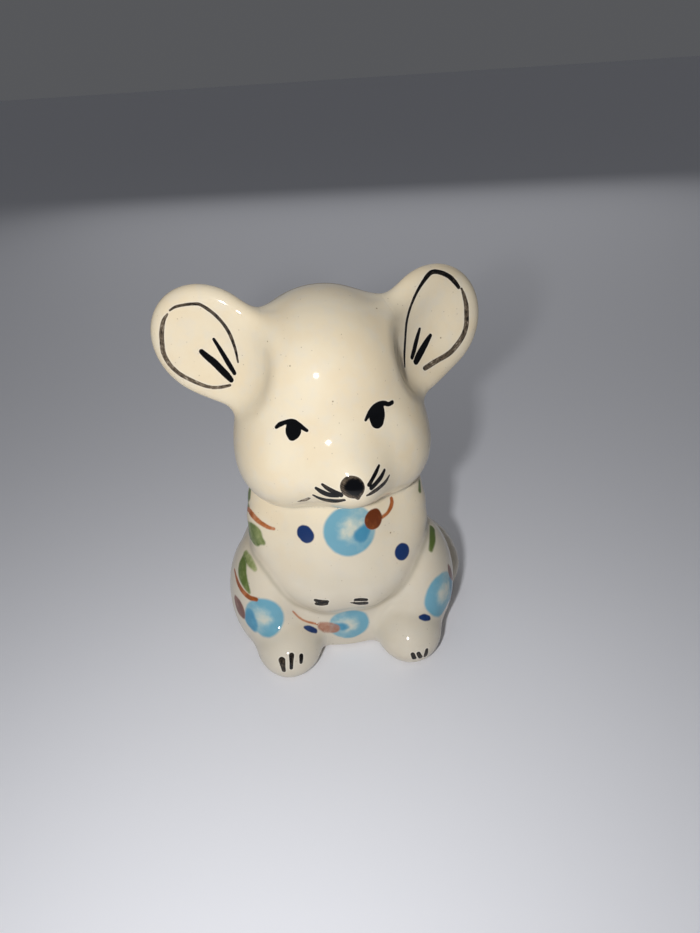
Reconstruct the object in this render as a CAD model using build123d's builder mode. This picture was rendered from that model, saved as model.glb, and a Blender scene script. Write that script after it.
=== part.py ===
from build123d import *
import os
from math import cos, pi, radians, sin, sqrt

os.makedirs("parts", exist_ok=True)

# A small seated mouse of glazed stoneware. Millimetres, Z up, resting on Z = 0.
# The mouse faces -Y, and its body axis is the Z axis. Left and right are the mouse's own.

# Thickness of the clay wall, and how far the cuts through it run on
wall = 3.2
cut_overrun = 4.0

# Belly, the lower body that stands on the table
belly_half_width = 20.5
belly_half_depth = 19.0
belly_half_height = 21.0
belly_centre_height = 8.0
belly_set_back = 2.0

# Hips, the smooth rise of the back from the belly to the shoulders, behind a plane a little before the axis
hip_fullness = 1.1
hip_half_width = belly_half_width + hip_fullness
hip_half_depth = belly_half_depth + hip_fullness
hip_half_height = 27.7
hip_rise = 3.0
hip_centre_height = belly_centre_height + hip_rise
hip_set_back = 1.4
hip_front = 4.0

# Pour hole under the belly
pour_hole_radius = 4.5
pour_hole_set_back = 9.0

# Chest, a barrel whose lower edge is cut to a U and rounded over
chest_half_width = 16.4
chest_half_depth = 15.8
chest_forward = 1.8
chest_top_height = 45.0
chest_widest_height = 22.0
chest_taper_height = 33.0
bib_half_width = 21.5
bib_half_depth = 42.0
bib_half_height = 27.0
bib_drop = 8.2
bib_centre_height = chest_top_height - bib_drop
bib_edge_blend = 7.0
neck_vent_radius = 5.0
crease_radius = 3.0

# Head: a skull, a wide jowl and a snout that run into one another
head_lift = 10.0
head_height = chest_top_height + head_lift
head_forward = 1.5
head_turn = 6.0
head_tilt = 1.5
skull_half_width = 17.6
skull_half_depth = 17.3
skull_half_height = 18.3
skull_set_back = 1.5
skull_rise = 2.5
jowl_half_width = 10.4
jowl_half_depth = 13.0
jowl_half_height = 11.0
jowl_flat_half_width = 9.2
jowl_forward = 4.0
jowl_drop = 8.0
jowl_blend = 6.0
snout_half_width = 7.4
snout_half_length = 12.3
snout_half_height = 6.8
snout_sunk = 3.2
snout_forward = skull_half_depth - skull_set_back - snout_sunk
snout_drop = 5.6
snout_pitch = 16.0
snout_blend = 7.0

# Ears, in the frame of the head, placed from the skull's side, crown and middle
ear_stand_out = 3.4
ear_below_crown = 8.8
ear_behind = 1.5
ear_out = skull_half_width + ear_stand_out
ear_set_back = skull_set_back + ear_behind
ear_rise = skull_rise + skull_half_height - ear_below_crown
ear_lean = 46.0
ear_turn = 21.0
ear_face_up = 12.0
ear_half_length = 11.3
ear_half_width = 10.4
ear_half_thickness = 3.6
dish_set_out = 0.9
dish_half_length = 9.2
dish_half_width = 8.2
dish_depth = 3.0
dish_curve = 3.8
ear_rim_radius = 0.8

# Arms, laid over the chest from the shoulder to a paw at the front. Each point of an arm lies
# some way in from the chest's side and front, and above or below its top or widest level.
shoulder_inset = 5.0
elbow_inset = 2.8
wrist_inset = 6.0
paw_inset = 11.6
shoulder_sunk = 16.8
elbow_sunk = 12.0
wrist_sunk = 6.3
paw_sunk = 3.4
shoulder_drop = 3.0
elbow_rise = 5.5
wrist_drop = 2.5
paw_drop = 5.7
shoulder_radius = 5.0
elbow_radius = 5.2
wrist_radius = 4.8
paw_radius = 4.2
chest_front = chest_forward + chest_half_depth

# Haunches and feet, pressed into the belly's sides and front
haunch_inset = 4.9
haunch_forward = 3.5
haunch_rise = 4.0
haunch_half_width = 9.1
haunch_half_depth = 13.3
haunch_half_height = 13.9
foot_inset = 7.5
foot_sunk = 1.4
foot_centre_height = 4.0
foot_half_width = 7.2
foot_half_length = 9.2
foot_half_height = 6.3
haunch_out = belly_half_width - haunch_inset
haunch_centre_height = belly_centre_height + haunch_rise
foot_out = belly_half_width - foot_inset
foot_forward = belly_half_depth - belly_set_back - foot_sunk

# Tail, lying round the back and along the left haunch, from its root to its tip
tail_off_haunch = 0.5
tail_off_back = 1.0
tail_lift = 0.7
tail_radius = 5.2
tail_out = haunch_out + haunch_half_width + tail_off_haunch
tail_back = belly_half_depth + belly_set_back + tail_off_back
tail_height = tail_radius + tail_lift
tail_out_shares = (0.0, 0.24, 0.53, 0.79, 0.94, 1.0, 0.985)
tail_back_shares = (0.74, 0.96, 0.95, 0.75, 0.48, 0.20, 0.01)
tail_thick_shares = (1.05, 1.05, 1.0, 0.97, 0.90, 0.77, 0.5)

# Free-form outlines: points round each one, and how their heights are spread (0 low, 1 high)
outline_points = 30
closed_shares = (0.004, 0.035, 0.115, 0.24, 0.39, 0.55, 0.70, 0.84, 0.94, 0.988)
open_top_shares = (0.005, 0.04, 0.11, 0.20, 0.32, 0.48, 0.66, 0.84, 1.0)
halvings = 40
limb_stations = 10
tip_angles = (30, 55, 75, 86)
unit = 1


# The surface measures are negative inside the clay, zero on its surface and positive outside.
def egg(point, centre, radii, pitch=0.0):
    x, y, z = (point[i] - centre[i] for i in range(3))
    lean = radians(pitch)
    y, z = y * cos(lean) + z * sin(lean), z * cos(lean) - y * sin(lean)
    near = sqrt((x / radii[0]) ** 2 + (y / radii[1]) ** 2 + (z / radii[2]) ** 2)
    steep = sqrt((x / radii[0] ** 2) ** 2 + (y / radii[1] ** 2) ** 2 + (z / radii[2] ** 2) ** 2)
    return near * (near - 1) / steep if steep else -min(radii)


# Two forms run together over the blend, as soft clay does
def join(first, second, blend):
    overlap = max(blend - abs(first - second), 0) / blend
    return min(first, second) - overlap**2 * blend / 4


def head_measure(x, y, z):
    skull = egg((x, y, z), (0, skull_set_back, skull_rise),
                (skull_half_width, skull_half_depth, skull_half_height))
    beyond_flat = max(abs(x) - jowl_flat_half_width, 0)
    jowl = egg((beyond_flat, y, z), (0, -jowl_forward, -jowl_drop),
               (jowl_half_width, jowl_half_depth, jowl_half_height))
    snout = egg((x, y, z), (0, -snout_forward, -snout_drop),
                (snout_half_width, snout_half_length, snout_half_height), snout_pitch)
    return join(join(skull, jowl, jowl_blend), snout, snout_blend)


def chest_measure(x, y, z):
    y = y + chest_forward
    above = max(z - chest_widest_height, 0) / chest_taper_height
    barrel = sqrt((x / chest_half_width) ** 2 + (y / chest_half_depth) ** 2) - 1 + above**2
    bib = egg((x, y, z), (0, 0, bib_centre_height), (bib_half_width, bib_half_depth, bib_half_height))
    return -join(-barrel * chest_half_width, -bib, bib_edge_blend)


# Distance along a direction at which the surface lies a given depth away, by halving
def reach(measure, start, direction, depth, longest):
    near, far = 0.0, longest
    for _ in range(halvings):
        middle = (near + far) / 2
        point = [start[i] + direction[i] * middle for i in range(3)]
        if measure(*point) < -depth:
            near = middle
        else:
            far = middle
    return near


# A closed form lofted through level outlines, which are centred on the line between its poles
def lofted(measure, start, depth, shares, longest, low_y, high_y, top=None):
    low = start[2] - reach(measure, (0, low_y, start[2]), (0, 0, -1), depth, longest)
    high = top or start[2] + reach(measure, (0, high_y, start[2]), (0, 0, 1), depth, longest)
    angles = [2 * pi * step / outline_points for step in range(outline_points)]
    knots = [step / outline_points for step in range(outline_points + 1)]
    with BuildPart() as form:
        for share in shares:
            height = low + (high - low) * share
            middle_y = low_y + (high_y - low_y) * share
            points = []
            for angle in angles:
                way = (cos(angle), sin(angle), 0)
                out = reach(measure, (0, middle_y, height), way, depth, longest)
                points.append((out * way[0], middle_y + out * way[1]))
            with BuildSketch(Plane.XY.offset(height)):
                with BuildLine():
                    add(Edge.make_spline(points, periodic=True, parameters=knots))
                make_face()
        loft()
    return form.part


# An egg about the origin with three half sizes
def egg_solid(half_width, half_depth, half_height):
    with BuildPart() as form:
        Sphere(unit)
        scale(by=(half_width, half_depth, half_height))
    return form.part


# A tapered round limb through points, with a rounded tip at the last one
def limb(points, radii, across):
    with BuildLine(mode=Mode.PRIVATE) as path:
        Spline(points)
    line = path.edges()[0]
    with BuildPart() as form:
        for step in range(limb_stations):
            share = step / (limb_stations - 1)
            index, part_way = divmod(share * (len(radii) - 1), 1)
            here, after = radii[int(index)], radii[min(int(index) + 1, len(radii) - 1)]
            with BuildSketch(Plane(line @ share, x_dir=across, z_dir=line % share)):
                Circle(here + (after - here) * part_way)
        tip = Plane(line @ 1, x_dir=across, z_dir=line % 1)
        for angle in tip_angles:
            with BuildSketch(tip.offset(radii[-1] * sin(radians(angle)))):
                Circle(radii[-1] * cos(radians(angle)))
        loft()
    return form.part


# Torso: belly and chest in one casting, hollow, with the pour hole under it and the neck open
chest_reach = bib_half_depth
chest_start = (0, -chest_forward, chest_widest_height)
chest_form = lofted(chest_measure, chest_start, 0, open_top_shares, chest_reach,
                    -chest_forward, -chest_forward, chest_top_height)
chest_room = lofted(chest_measure, chest_start, wall, open_top_shares, chest_reach,
                    -chest_forward, -chest_forward, chest_top_height - wall)
with BuildPart() as hips:
    with Locations((0, hip_set_back, hip_centre_height)):
        add(egg_solid(hip_half_width, hip_half_depth, hip_half_height))
    split(bisect_by=Plane.XZ.offset(hip_front), keep=Keep.BOTTOM)
with BuildPart() as torso_form:
    with Locations((0, belly_set_back, belly_centre_height)):
        add(egg_solid(belly_half_width, belly_half_depth, belly_half_height))
    add(chest_form)
    crease = torso_form.edges(Select.NEW)
    fillet(crease, crease_radius)
    add(hips.part)
    split(bisect_by=Plane.XY, keep=Keep.TOP)

with BuildPart() as hips_room:
    with Locations((0, hip_set_back, hip_centre_height)):
        add(egg_solid(hip_half_width - wall, hip_half_depth - wall, hip_half_height - wall))
    split(bisect_by=Plane.XZ.offset(hip_front - wall), keep=Keep.BOTTOM)
with BuildPart() as torso_room:
    with Locations((0, belly_set_back, belly_centre_height)):
        add(egg_solid(belly_half_width - wall, belly_half_depth - wall, belly_half_height - wall))
    add(chest_room)
    add(hips_room.part)
    split(bisect_by=Plane.XY.offset(wall), keep=Keep.TOP)

with BuildPart() as torso:
    add(torso_form.part)
    add(torso_room.part, mode=Mode.SUBTRACT)
    with Locations((0, pour_hole_set_back, 0)):
        Cylinder(pour_hole_radius, wall + cut_overrun, mode=Mode.SUBTRACT)
    with Locations((0, -chest_forward, chest_top_height)):
        Cylinder(neck_vent_radius, wall + cut_overrun, mode=Mode.SUBTRACT)
torso.part.label = "torso"
export_step(torso.part, "parts/torso.step")

# Head: hollow, set over the neck and open there, turned and tilted a little on the body
head_place = Location((0, -head_forward, head_height), (0, head_tilt, head_turn))
head_reach = skull_half_depth + 2 * snout_half_length
head_start = (0, 0, 0)
head_form = lofted(head_measure, head_start, 0, closed_shares, head_reach,
                   -jowl_forward, skull_set_back)
head_room = lofted(head_measure, head_start, wall, closed_shares, head_reach,
                   -jowl_forward, skull_set_back)
with BuildPart() as head_outer:
    with Locations(head_place):
        add(head_form)
with BuildPart() as head:
    with Locations(head_place):
        add(head_form)
        add(head_room, mode=Mode.SUBTRACT)
    add(torso_form.part, mode=Mode.SUBTRACT)
head.part.label = "head"
export_step(head.part, "parts/head.step")

# Ears: plump teardrops rooted in the head, each with a shallow dish pressed into its front
ear_along_shares = (-1.5, -1.05, -0.6, -0.2, 0.2, 0.55, 0.8, 0.94, 0.995)
ear_width_shares = (1.02, 0.92, 0.93, 0.99, 0.98, 0.84, 0.60, 0.34, 0.10)
ear_thick_shares = (2.9, 2.5, 1.85, 1.28, 1.04, 0.9, 0.68, 0.42, 0.14)
ear_back_shares = (0.8, 0.75, 0.56, 0.24, 0.05, 0.0, 0.0, 0.0, 0.0)
for name, side in (("left", 1), ("right", -1)):
    lean, turn, face_up = radians(ear_lean), radians(ear_turn), radians(ear_face_up)
    along = Vector(side * sin(lean) * cos(turn), sin(lean) * sin(turn), cos(lean))
    facing = Vector(side * sin(turn) * cos(face_up), -cos(turn) * cos(face_up), sin(face_up))
    across = facing.cross(along).normalized()
    ear_plane = Plane((side * ear_out, ear_set_back, ear_rise), x_dir=across, z_dir=along)
    with BuildPart() as ear_form:
        stations = zip(ear_along_shares, ear_width_shares, ear_thick_shares, ear_back_shares)
        for place, width, thickness, backward in stations:
            with BuildSketch(ear_plane.offset(place * ear_half_length)):
                with Locations((0, -backward * ear_half_thickness)):
                    Ellipse(width * ear_half_width, thickness * ear_half_thickness)
        loft()
        with Locations(ear_plane):
            with Locations((0, ear_half_thickness - dish_depth + dish_curve, dish_set_out)):
                add(egg_solid(dish_half_width, dish_curve, dish_half_length), mode=Mode.SUBTRACT)
        rim = ear_form.edges(Select.LAST)
        fillet(rim, ear_rim_radius)
    with BuildPart() as ear:
        with Locations(head_place):
            add(ear_form.part)
            add(head_form, mode=Mode.SUBTRACT)
    ear.part.label = f"{name}_ear"
    export_step(ear.part, f"parts/{name}_ear.step")

# Arms, haunches and feet, each cut to the larger piece that it is pressed against
for name, side in (("left", 1), ("right", -1)):
    arm_points = (
        (side * (chest_half_width - shoulder_inset), shoulder_sunk - chest_front,
         chest_top_height - shoulder_drop),
        (side * (chest_half_width - elbow_inset), elbow_sunk - chest_front,
         chest_widest_height + elbow_rise),
        (side * (chest_half_width - wrist_inset), wrist_sunk - chest_front,
         chest_widest_height - wrist_drop),
        (side * (chest_half_width - paw_inset), paw_sunk - chest_front,
         chest_widest_height - paw_drop),
    )
    arm_radii = (shoulder_radius, elbow_radius, wrist_radius, paw_radius)
    with BuildPart() as arm:
        add(limb(arm_points, arm_radii, (side, 0, 0)))
        add(torso_form.part, mode=Mode.SUBTRACT)
        add(head_outer.part, mode=Mode.SUBTRACT)
    arm.part.label = f"{name}_arm"
    export_step(arm.part, f"parts/{name}_arm.step")

    with BuildPart() as haunch_form:
        with Locations((side * haunch_out, -haunch_forward, haunch_centre_height)):
            add(egg_solid(haunch_half_width, haunch_half_depth, haunch_half_height))
        split(bisect_by=Plane.XY, keep=Keep.TOP)
    with BuildPart() as haunch:
        add(haunch_form.part)
        add(torso_form.part, mode=Mode.SUBTRACT)
        add(arm.part, mode=Mode.SUBTRACT)
    haunch.part.label = f"{name}_haunch"
    export_step(haunch.part, f"parts/{name}_haunch.step")

    with BuildPart() as foot:
        with Locations((side * foot_out, -foot_forward, foot_centre_height)):
            add(egg_solid(foot_half_width, foot_half_length, foot_half_height))
        split(bisect_by=Plane.XY, keep=Keep.TOP)
        add(torso_form.part, mode=Mode.SUBTRACT)
        add(haunch_form.part, mode=Mode.SUBTRACT)
    foot.part.label = f"{name}_foot"
    export_step(foot.part, f"parts/{name}_foot.step")

    if side > 0:
        left_haunch_form = haunch_form.part

# Tail: lies round the back and comes forward along the left haunch, thinning to a blunt tip
tail_points = []
tail_radii = []
for out, back, thick in zip(tail_out_shares, tail_back_shares, tail_thick_shares):
    tail_radii.append(tail_radius * thick)
    tail_points.append((tail_out * out, tail_back * back, tail_height * thick))
with BuildPart() as tail:
    add(limb(tail_points, tail_radii, (0, 0, 1)))
    add(torso_form.part, mode=Mode.SUBTRACT)
    add(left_haunch_form, mode=Mode.SUBTRACT)
tail.part.label = "tail"
export_step(tail.part, "parts/tail.step")
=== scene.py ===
# A small seated mouse of glazed stoneware, painted by hand under the glaze, over its measured frame.
# Shapes are worked out in millimetres and turned to metres when a mesh is made.
import math

import bpy
import numpy as np
from mathutils import Matrix


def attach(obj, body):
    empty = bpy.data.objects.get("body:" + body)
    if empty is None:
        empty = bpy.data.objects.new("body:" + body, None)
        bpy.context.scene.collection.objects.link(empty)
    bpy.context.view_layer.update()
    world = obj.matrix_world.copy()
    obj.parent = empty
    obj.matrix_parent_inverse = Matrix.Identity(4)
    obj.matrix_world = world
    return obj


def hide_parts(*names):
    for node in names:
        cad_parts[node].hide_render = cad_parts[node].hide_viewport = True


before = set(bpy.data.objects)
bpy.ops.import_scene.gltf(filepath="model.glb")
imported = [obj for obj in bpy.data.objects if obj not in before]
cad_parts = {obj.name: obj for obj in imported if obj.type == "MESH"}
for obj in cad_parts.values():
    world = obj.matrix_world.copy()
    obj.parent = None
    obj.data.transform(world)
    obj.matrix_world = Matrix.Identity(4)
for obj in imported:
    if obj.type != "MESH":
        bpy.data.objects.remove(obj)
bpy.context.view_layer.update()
print("frame loaded")

# Camera of the photograph: where it looks, how far away it stands and how it is turned
view = {"target": (3.7, 0.0, 36.5), "distance": 150.0, "elevation": 31.0, "azimuth": -4.7,
        "roll": 3.5, "focalPixels": 701.0, "width": 700, "height": 933}


# Where the camera stands, and the directions of its right, up and forward
def cameraAxes():
    el, az, roll = (math.radians(view[k]) for k in ("elevation", "azimuth", "roll"))
    back = np.array([math.sin(az) * math.cos(el), -math.cos(az) * math.cos(el), math.sin(el)])
    place = np.array(view["target"]) + back * view["distance"]
    right = np.cross(-back, [0, 0, 1.0])
    right /= np.linalg.norm(right)
    up = np.cross(right, -back)
    turned = right * math.cos(roll) - up * math.sin(roll)
    return place, turned, right * math.sin(roll) + up * math.cos(roll), -back


# How far wet clay is smoothed over where two forms meet, in millimetres. In front the folds stay crisp.
# Behind, between the two depths given last, they run out into one smooth back. Ears are tight below and full
# above.
joints = {"arm": 6.0, "foot": 2.4, "haunch": 3.6, "tail": 1.6, "limb": 0.6, "underside": 1.0,
          "earBelow": 2.4, "earAbove": 6.0, "earHeights": (4.0, 15.0), "chestFront": 1.6, "chestBehind": 13.6,
          "neckFront": 1.2, "neckBehind": 4.7, "behind": (-4.0, 8.0)}


# Clay forms. Each measure takes points (n, 3) and gives about the distance to its surface,
# negative inside. An egg is |p/r| (|p/r| - 1) / |p/r2|, and forms run together by a smooth minimum.
def egg(points, centre, radii, pitch=0.0):
    q = points - np.array(centre)
    c, s = math.cos(math.radians(pitch)), math.sin(math.radians(pitch))
    x, y, z = q[:, 0], q[:, 1] * c + q[:, 2] * s, q[:, 2] * c - q[:, 1] * s
    a, b, d = radii
    near = np.sqrt((x / a) ** 2 + (y / b) ** 2 + (z / d) ** 2)
    steep = np.sqrt((x / a**2) ** 2 + (y / b**2) ** 2 + (z / d**2) ** 2)
    return near * (near - 1) / np.maximum(steep, 1e-9)


# The smaller of two measures, less a quarter of the blend where they are equal, fading out a blend apart
def join(first, second, blend):
    h = np.maximum(blend - np.abs(first - second), 0) / blend
    return np.minimum(first, second) - h * h * blend / 4


# 0 up to low, 1 from high on, and between them three t squared less two t cubed
def softStep(values, low, high):
    t = np.clip((values - low) / (high - low), 0, 1)
    return t * t * (3 - 2 * t)


# A limb is a chain of tapered rounds along a curve: distance to the chain's nearest point less its radius
def limbMeasure(points, line, radii):
    start, step = line[:-1], line[1:] - line[:-1]
    best = np.full(len(points), 1e9)
    for a, ab, ra, rb in zip(start, step, radii[:-1], radii[1:]):
        t = np.clip((points - a) @ ab / (ab @ ab), 0, 1)
        d = np.linalg.norm(points - a - t[:, None] * ab, axis=1) - (ra + (rb - ra) * t)
        best = join(best, d, joints["limb"])
    return best


# A smooth curve through points: Catmull-Rom pieces, the ends doubled
def smoothCurve(points, count):
    p = np.array(points, float)
    p = np.vstack([2 * p[0] - p[1], p, 2 * p[-1] - p[-2]])
    u = np.linspace(0, len(points) - 1 - 1e-6, count)
    i, t = u.astype(int), (u % 1)[:, None]
    a, b, c, d = p[i], p[i + 1], p[i + 2], p[i + 3]
    return 0.5 * (2 * b + (c - a) * t + (2 * a - 5 * b + 4 * c - d) * t**2 + (3 * b - a - 3 * c + d) * t**3)


# A tilt to one side about y, then a turn about z, in degrees
def turnMatrix(tilt, turn):
    t, z = math.radians(tilt), math.radians(turn)
    aboutY = np.array([[math.cos(t), 0, math.sin(t)], [0, 1, 0], [-math.sin(t), 0, math.cos(t)]])
    aboutZ = np.array([[math.cos(z), -math.sin(z), 0], [math.sin(z), math.cos(z), 0], [0, 0, 1]])
    return aboutZ @ aboutY


headSizes = {"centre": (0.0, -1.5, 55.0), "turn": 6.0, "tilt": 1.5,
             "skull": (17.6, 17.3, 18.3), "skullAt": (0, 1.5, 2.5),
             "jowl": (10.4, 13.0, 11.4), "jowlAt": (0, -4.0, -9.0), "jowlFlat": 9.2, "jowlBlend": 6.0,
             "snout": (7.4, 10.0, 7.0), "snoutAt": (1.2, -12.6, -9.5), "snoutPitch": 6.0, "snoutBlend": 5.6}
headTurn = turnMatrix(headSizes["tilt"], headSizes["turn"])


def toHead(points):
    return (points - np.array(headSizes["centre"])) @ headTurn


def fromHead(points):
    return points @ headTurn.T + np.array(headSizes["centre"])


# Skull, jowl and snout run together. The jowl is an egg cut in half and drawn apart sideways.
def headMeasure(points):
    h, q = headSizes, toHead(points)
    skull = egg(q, h["skullAt"], h["skull"])
    flat = q.copy()
    flat[:, 0] = np.maximum(np.abs(q[:, 0]) - h["jowlFlat"], 0)
    jowl = egg(flat, h["jowlAt"], h["jowl"])
    snout = egg(q, h["snoutAt"], h["snout"], h["snoutPitch"])
    return join(join(skull, jowl, h["jowlBlend"]), snout, h["snoutBlend"])


earSizes = {"lean": 46.0, "turn": 21.0, "faceUp": 12.0, "length": 11.3, "thick": 3.6,
            "rootAt": (-9.5, 0, -0.6), "rootLength": 8.5, "rootThick": 5.0, "rootBlend": 5.0,
            "dish": (11.0, 9.0, 6.0), "dishAt": (-1.6, 0.0, 6.4), "dishDeepest": 1.5, "dishBlend": 3.6,
            "left": {"place": (21.6, 1.6, 11.7), "width": 11.0, "root": 8.2},
            "right": {"place": (21.6, 1.6, 12.2), "width": 10.1, "root": 6.0}}


# What differs between the two ears: 1 is the mouse's left, -1 its right
def earOf(side):
    return earSizes["left" if side > 0 else "right"]


# The ear's own axes, as columns: along its length, across it, and the way it faces
def earAxes(side):
    lean, turn, up = (math.radians(earSizes[k]) for k in ("lean", "turn", "faceUp"))
    along = np.array([side * math.sin(lean) * math.cos(turn), math.sin(lean) * math.sin(turn),
                      math.cos(lean)])
    facing = np.array([side * math.sin(turn) * math.cos(up), -math.cos(turn) * math.cos(up), math.sin(up)])
    facing -= (facing @ along) * along
    facing /= np.linalg.norm(facing)
    return np.stack([along, np.cross(facing, along), facing], 1)


def toEar(points, side):
    e = earOf(side)["place"]
    return (toHead(points) - np.array([side * e[0], e[1], e[2]])) @ earAxes(side)


def fromEar(points, side):
    e = earOf(side)["place"]
    return fromHead(points @ earAxes(side).T + np.array([side * e[0], e[1], e[2]]))


# A flat egg for the plate and a plump one for the root, run together
def earMeasure(points, side):
    e, own, q = earSizes, earOf(side), toEar(points, side)
    plate = egg(q, (0, 0, 0), (e["length"], own["width"], e["thick"]))
    root = egg(q, e["rootAt"], (e["rootLength"], own["root"], e["rootThick"]))
    return join(plate, root, e["rootBlend"])


# The egg pressed into an ear, levelled off inside so that it never reads deeper than it is
def dishMeasure(points, side):
    pressed = egg(toEar(points, side), earSizes["dishAt"], earSizes["dish"])
    return np.maximum(pressed, -earSizes["dishDeepest"])


torsoSizes = {"belly": (20.5, 19.0, 21.0), "bellyAt": (0, 2.0, 8.0),
              "chestWidth": 16.6, "chestDepth": 15.8, "chestForward": 1.8, "widest": 22.0, "taper": 33.0,
              "taperHeight": 26.0, "bib": (21.5, 42.0, 27.0), "bibAt": 36.8, "bibBlend": 7.0}


# The chest is an oval barrel that narrows upwards with the square of the height, cut below by the bib's egg,
# whose lower edge makes the U in front
def chestMeasure(points):
    t = torsoSizes
    x, y, z = points[:, 0], points[:, 1] + t["chestForward"], points[:, 2]
    above = np.clip(z - t["widest"], 0, t["taperHeight"]) / t["taper"]
    oval = np.sqrt((x / t["chestWidth"]) ** 2 + (y / t["chestDepth"]) ** 2)
    barrel = (oval - 1 + above**2) * t["chestWidth"]
    bib = egg(np.stack([x, y, z], 1), (0, 0, t["bibAt"]), t["bib"])
    return -join(-barrel, -bib, t["bibBlend"])


def bellyMeasure(points):
    return egg(points, torsoSizes["bellyAt"], torsoSizes["belly"])


armSizes = {"points": ((11.4, -0.8, 42.0), (13.6, -5.6, 27.5), (10.4, -11.3, 19.5), (4.8, -14.2, 16.3)),
            "radii": (5.0, 5.2, 4.8, 4.2), "count": 12}
tailSizes = {"points": ((0.0, 16.3, 6.2), (6.0, 21.1, 6.2), (13.4, 20.9, 5.9), (19.9, 16.5, 5.7),
                        (23.7, 10.6, 5.3), (25.2, 4.4, 4.5), (24.8, 0.2, 3.0)),
             "radii": (5.5, 5.5, 5.2, 5.0, 4.7, 4.0, 2.6), "count": 16}
haunchSizes = {"centre": (15.9, -4.4, 9.8), "radii": (9.3, 13.6, 14.6)}
footSizes = {"centre": (13.0, -15.6, 4.0), "radii": (7.2, 9.2, 6.3)}


# A limb's curve, on the mouse's left for 1 and its right for -1, with the radius at each point
def limbLine(sizes, side):
    line = smoothCurve(np.array(sizes["points"]) * (side, 1, 1), sizes["count"])
    last = len(sizes["radii"]) - 1
    return line, np.interp(np.linspace(0, last, sizes["count"]), range(last + 1), sizes["radii"])


limbs = {"left_arm": limbLine(armSizes, 1), "right_arm": limbLine(armSizes, -1),
         "tail": limbLine(tailSizes, 1)}


def mirrored(sizes, side):
    return np.array(sizes["centre"]) * (side, 1, 1), sizes["radii"]


measures = {
    "chest": chestMeasure,
    "belly": bellyMeasure,
    "head": headMeasure,
    "left_ear": lambda p: earMeasure(p, 1),
    "right_ear": lambda p: earMeasure(p, -1),
    "left_arm": lambda p: limbMeasure(p, *limbs["left_arm"]),
    "right_arm": lambda p: limbMeasure(p, *limbs["right_arm"]),
    "left_haunch": lambda p: egg(p, *mirrored(haunchSizes, 1)),
    "right_haunch": lambda p: egg(p, *mirrored(haunchSizes, -1)),
    "left_foot": lambda p: egg(p, *mirrored(footSizes, 1)),
    "right_foot": lambda p: egg(p, *mirrored(footSizes, -1)),
    "tail": lambda p: limbMeasure(p, *limbs["tail"]),
}


# Head with ears, chest with arms, and belly with legs and tail: wet clay smoothed together at each joint
def bodyGroups(d, points):
    j = joints
    upper = join(join(d["chest"], d["left_arm"], j["arm"]), d["right_arm"], j["arm"])
    leftLeg = join(d["left_haunch"], d["left_foot"], j["foot"])
    rightLeg = join(d["right_haunch"], d["right_foot"], j["foot"])
    lower = join(join(d["belly"], leftLeg, j["haunch"]), rightLeg, j["haunch"])
    lower = join(lower, d["tail"], j["tail"])
    above = softStep(toHead(points)[:, 2], *j["earHeights"])
    seam = j["earBelow"] + (j["earAbove"] - j["earBelow"]) * above
    top = join(join(d["head"], d["left_ear"], seam), d["right_ear"], seam)
    return top, upper, lower


def pressDishes(top, points):
    for side in (1, -1):
        top = -join(-top, dishMeasure(points, side), earSizes["dishBlend"])
    return top


# 0 in front, 1 behind
def behind(points):
    return softStep(points[:, 1], *joints["behind"])


# The whole figure from the separate measures, with the dishes pressed into the ears, flat underneath
def figureFrom(d, points):
    j, back = joints, behind(points)
    top, upper, lower = bodyGroups(d, points)
    body = join(lower, upper, j["chestFront"] + (j["chestBehind"] - j["chestFront"]) * back)
    neck = j["neckFront"] + (j["neckBehind"] - j["neckFront"]) * back
    return -join(-join(body, pressDishes(top, points), neck), points[:, 2], j["underside"])


def figure(points):
    return figureFrom({name: measure(points) for name, measure in measures.items()}, points)


# What each piece touches, so that only those measures are worked out for it
neighbours = {
    "torso": tuple(key for key in measures if "ear" not in key),
    "head": ("chest", "head", "left_ear", "right_ear", "left_arm", "right_arm"),
    "left_ear": ("head", "left_ear"),
    "right_ear": ("head", "right_ear"),
    "left_arm": ("chest", "belly", "head", "left_arm", "right_arm", "left_haunch", "left_foot"),
    "right_arm": ("chest", "belly", "head", "left_arm", "right_arm", "right_haunch", "right_foot"),
    "left_haunch": ("chest", "belly", "left_arm", "left_haunch", "left_foot", "tail"),
    "right_haunch": ("chest", "belly", "right_arm", "right_haunch", "right_foot", "tail"),
    "left_foot": ("chest", "belly", "left_arm", "left_haunch", "left_foot"),
    "right_foot": ("chest", "belly", "right_arm", "right_haunch", "right_foot"),
    "tail": ("chest", "belly", "left_haunch", "right_haunch", "tail"),
}

# How a piece sinks under its neighbours: bend times the overlap squared, and straight on from one overlap
sinking = {"bend": 0.22, "straightFrom": 2.5}
# Steps of a walk along a ray: the share of the distance taken each time, how close is near enough, how often
walking = {"share": 0.72, "close": 0.002, "steps": 40}


# One piece: the figure where the piece's own form is the nearest, sinking a little under its neighbours
# beyond that, and never further than the margin from its own form
def pieceMeasure(name, points, margin):
    far = np.full(len(points), 1e3)
    d = {key: measure(points) if key in neighbours[name] else far for key, measure in measures.items()}
    mine = {"torso": ("chest", "belly")}.get(name, (name,))
    own = np.min([d[key] for key in mine], axis=0)
    others = np.min([value for key, value in d.items() if key not in mine], axis=0)
    over = np.maximum(own - others, 0)
    bend, straight = sinking["bend"], sinking["straightFrom"]
    steepest = 2 * bend * straight
    slope = np.minimum(2 * bend * over, steepest)
    sunk = np.where(over < straight, bend * over**2, steepest * over - bend * straight**2)
    return np.maximum((figureFrom(d, points) + sunk) / (1 + 2 * slope), own - margin)


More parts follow.
